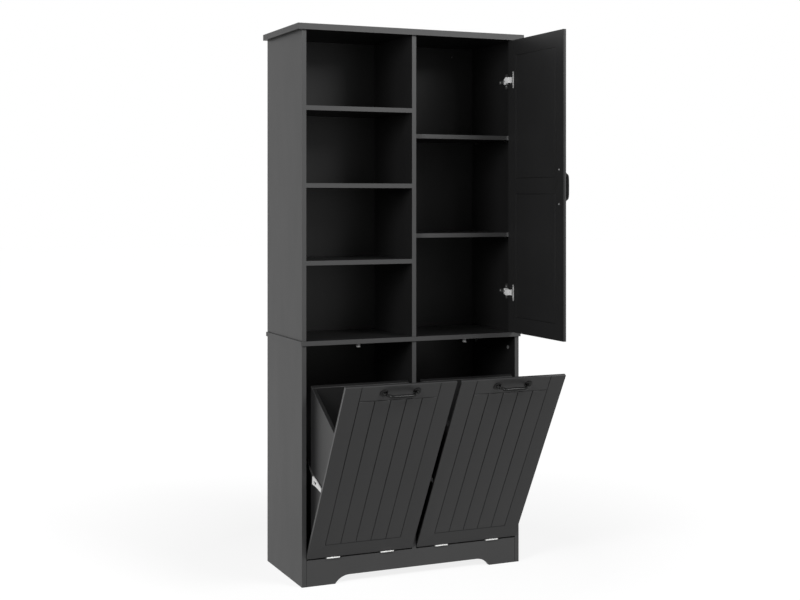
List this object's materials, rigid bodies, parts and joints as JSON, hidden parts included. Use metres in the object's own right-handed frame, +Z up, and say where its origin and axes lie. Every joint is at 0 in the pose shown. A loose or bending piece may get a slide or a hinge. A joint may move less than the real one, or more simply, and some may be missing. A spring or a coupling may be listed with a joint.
{
  "type": "tall bathroom cabinet",
  "caption": "Tall free-standing bathroom cabinet with open shelves, a hinged closet door and tilt-out laundry bins behind plank-grooved fronts.",
  "frame": {"origin": "on the floor under the middle of the carcass, on the foot of the centre support", "axes": "+Z up, -Y to the front where the doors open, +X to the right seen from the front"},
  "size_m": [0.832, 0.7265, 1.835],
  "materials": {
    "black_board": "satin black laminate on fibreboard",
    "handle_black": "semi-gloss black",
    "steel": "nickel plated",
    "dark_steel": "black zinc",
    "zinc": "die-cast zinc",
    "white_plastic": "white moulded plastic",
    "beech": "plain beech"
  },
  "bodies": {
    "cabinet": {"top_board": "black_board", "upper_left_side": "black_board", "upper_right_side": "black_board", "upper_divider": "black_board", "upper_back_panel": "black_board", "left_shelf_lower": "black_board", "left_shelf_middle": "black_board", "left_shelf_upper": "black_board", "right_shelf_lower": "black_board", "right_shelf_upper": "black_board", "middle_board": "black_board", "base_left_side": "black_board", "base_right_side": "black_board", "base_divider": "black_board", "base_bottom": "black_board", "plinth": "black_board", "base_back_panel": "black_board", "rear_plinth": "black_board", "centre_support": "black_board", "wall_rail": "black_board", "dowels": "beech", "shelf_pins": "dark_steel", "cam_locks": "zinc", "hinge_plates": "dark_steel", "hinge_arms": "steel", "hinge_pins": "steel", "stop_studs": "dark_steel", "flap_hinge_fixed_leaves": "steel", "flap_hinge_pins": "steel", "carcass_screws": "steel", "magnetic_catches": "white_plastic"},
    "upper_door": {"upper_door_panel": "black_board", "upper_door_handle": "handle_black", "upper_door_screws": "steel", "hinge_cups": "dark_steel", "hinge_flanges": "steel"},
    "upper_hinge_link": {"upper_hinge_link": "steel"},
    "lower_hinge_link": {"lower_hinge_link": "steel"},
    "left_tilt": {"left_tilt_door": "black_board", "left_tilt_handle": "handle_black", "left_tilt_screws": "steel", "left_tilt_hinge_leaves": "steel", "left_strike_plate": "steel", "left_bin_left_wall": "black_board", "left_bin_right_wall": "black_board", "left_bin_back": "black_board", "left_bin_floor": "black_board", "left_stop_arms": "white_plastic", "left_stop_hooks": "dark_steel"},
    "right_tilt": {"right_tilt_door": "black_board", "right_tilt_handle": "handle_black", "right_tilt_screws": "steel", "right_tilt_hinge_leaves": "steel", "right_strike_plate": "steel", "right_bin_left_wall": "black_board", "right_bin_right_wall": "black_board", "right_bin_back": "black_board", "right_bin_floor": "black_board", "right_stop_arms": "white_plastic", "right_stop_hooks": "dark_steel"}
  },
  "joints": [
    {"name": "upper_door_swing", "type": "hinge", "parent": "cabinet", "child": "upper_door", "pos_m": [0.3775, -0.1795, 1.3075], "axis": [0, 0, 1], "range_deg": [-90, 5]},
    {"name": "upper_link_turn", "type": "hinge", "parent": "cabinet", "child": "upper_hinge_link", "pos_m": [0.364, -0.158, 1.6755], "axis": [0, 0, 1], "range_deg": [-90, 5]},
    {"name": "lower_link_turn", "type": "hinge", "parent": "cabinet", "child": "lower_hinge_link", "pos_m": [0.364, -0.158, 0.9395], "axis": [0, 0, 1], "range_deg": [-90, 5]},
    {"name": "left_bin_tilt", "type": "hinge", "parent": "cabinet", "child": "left_tilt", "pos_m": [-0.19625, -0.1818, 0.0875], "axis": [1, 0, 0], "range_deg": [-30, 0]},
    {"name": "right_bin_tilt", "type": "hinge", "parent": "cabinet", "child": "right_tilt", "pos_m": [0.19625, -0.1818, 0.0875], "axis": [1, 0, 0], "range_deg": [-30, 0]}
  ],
  "couplings": [
    {"joint": "upper_link_turn", "follows": "upper_door_swing", "ratio": 1},
    {"joint": "lower_link_turn", "follows": "upper_door_swing", "ratio": 1}
  ]
}
